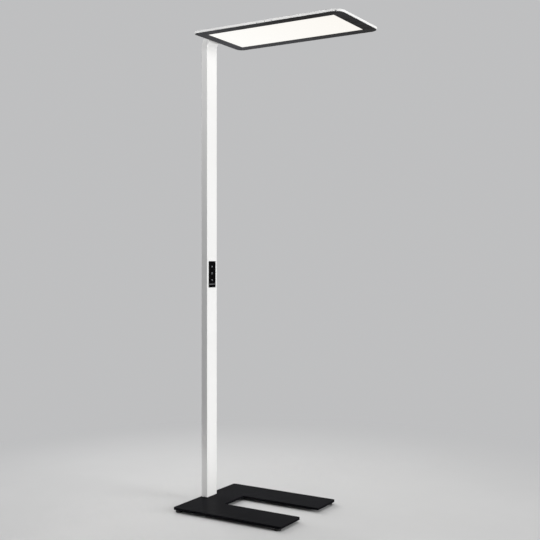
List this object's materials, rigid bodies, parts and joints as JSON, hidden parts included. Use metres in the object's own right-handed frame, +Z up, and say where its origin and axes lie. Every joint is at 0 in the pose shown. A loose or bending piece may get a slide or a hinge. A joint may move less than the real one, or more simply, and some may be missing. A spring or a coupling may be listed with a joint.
{
  "type": "office floor lamp",
  "caption": "Tall office floor lamp: flat U-shaped base plate, rectangular post bent into an arm at the top, thin flat head with a lit panel below, and push keys on the post.",
  "frame": {"origin": "middle of the lamp's outline box, on the floor under the foot pads", "axes": "+X forward, from the post along the arm and the prongs of the base; +Y to the left seen from behind the post, away from the sensor side of the head; +Z up"},
  "size_m": [0.723, 0.44, 1.955],
  "materials": {
    "base_black": "satin black powder coat, fine grain",
    "pad_black": "matt black rubber",
    "post_white": "satin silver-white coat on drawn aluminium",
    "insert_white": "satin, the colour of the rim",
    "steel": "plain machined steel",
    "dark_screw": "black oxide",
    "bright_screw": "zinc plated",
    "tray_aluminium": "mill finish",
    "inlet_black": "fine moulded grain",
    "blade_brass": "plain",
    "driver_white": "smooth moulded",
    "lead_black": "smooth sheath",
    "lead_red": "smooth sheath",
    "frame_bright": "fine satin, bright edge",
    "panel_gloss": "high gloss black",
    "icon_light": "light grey translucent inlay",
    "status_grey": "grey translucent bar",
    "board_green": "solder mask",
    "board_white": "white solder mask",
    "emitter_yellow": "phosphor",
    "bezel_dark": "anthracite, fine brushed grain",
    "diffuser_lit": "opal, lit from behind",
    "window_frosted": "frosted",
    "guide_clear": "clear with printed dots",
    "reflector_white": "matt white foil",
    "foam_grey": "closed-cell foam",
    "lens_black": "dark tinted"
  },
  "bodies": {
    "lamp": {"base_plate": "base_black", "foot_pads": "pad_black", "foot_screws": "bright_screw", "post_gasket": "pad_black", "post_block": "steel", "post_bolts": "dark_screw", "post_tube": "post_white", "block_screws": "bright_screw", "mains_inlet": "inlet_black", "inlet_blades": "blade_brass", "inlet_screws": "bright_screw", "mains_lead": "lead_black", "led_driver": "driver_white", "driver_tray": "tray_aluminium", "tray_screws": "bright_screw", "control_frame": "frame_bright", "control_clips": "steel", "control_panel": "panel_gloss", "control_housing": "inlet_black", "control_board": "board_green", "board_screws": "bright_screw", "key_switches": "inlet_black", "status_light": "status_grey", "control_lead": "lead_black", "head_lead": "lead_black", "lead_grommet": "pad_black", "arm_nut_bar": "steel", "arm_end_cap": "post_white", "arm_mount_plate": "steel", "arm_screws": "dark_screw", "head_shell": "post_white", "head_cover": "post_white", "uplight_windows": "window_frosted", "uplight_boards": "board_white", "uplight_emitters": "emitter_yellow", "uplight_leads": "lead_red", "head_junction": "inlet_black", "strip_leads": "lead_red", "head_bezel": "bezel_dark", "bezel_magnets": "steel", "diffuser": "diffuser_lit", "light_guide": "guide_clear", "reflector_sheet": "reflector_white", "foam_pad": "foam_grey", "strip_rails": "tray_aluminium", "light_strips": "board_white", "strip_emitters": "emitter_yellow", "sensor_insert": "insert_white", "sensor_lens": "lens_black", "sensor_board": "board_green"},
    "up_key": {"key_up": "panel_gloss", "icon_up": "icon_light"},
    "power_key": {"key_power": "panel_gloss", "icon_power": "icon_light"},
    "down_key": {"key_down": "panel_gloss", "icon_down": "icon_light"}
  },
  "joints": [
    {"name": "up_press", "type": "slide", "parent": "lamp", "child": "up_key", "axis": [-1, 0, 0], "range_m": [0, 0.0008], "stiffness_N_per_m": 1500, "springref_m": -0.0003},
    {"name": "power_press", "type": "slide", "parent": "lamp", "child": "power_key", "axis": [-1, 0, 0], "range_m": [0, 0.0008], "stiffness_N_per_m": 1500, "springref_m": -0.0003},
    {"name": "down_press", "type": "slide", "parent": "lamp", "child": "down_key", "axis": [-1, 0, 0], "range_m": [0, 0.0008], "stiffness_N_per_m": 1500, "springref_m": -0.0003}
  ]
}
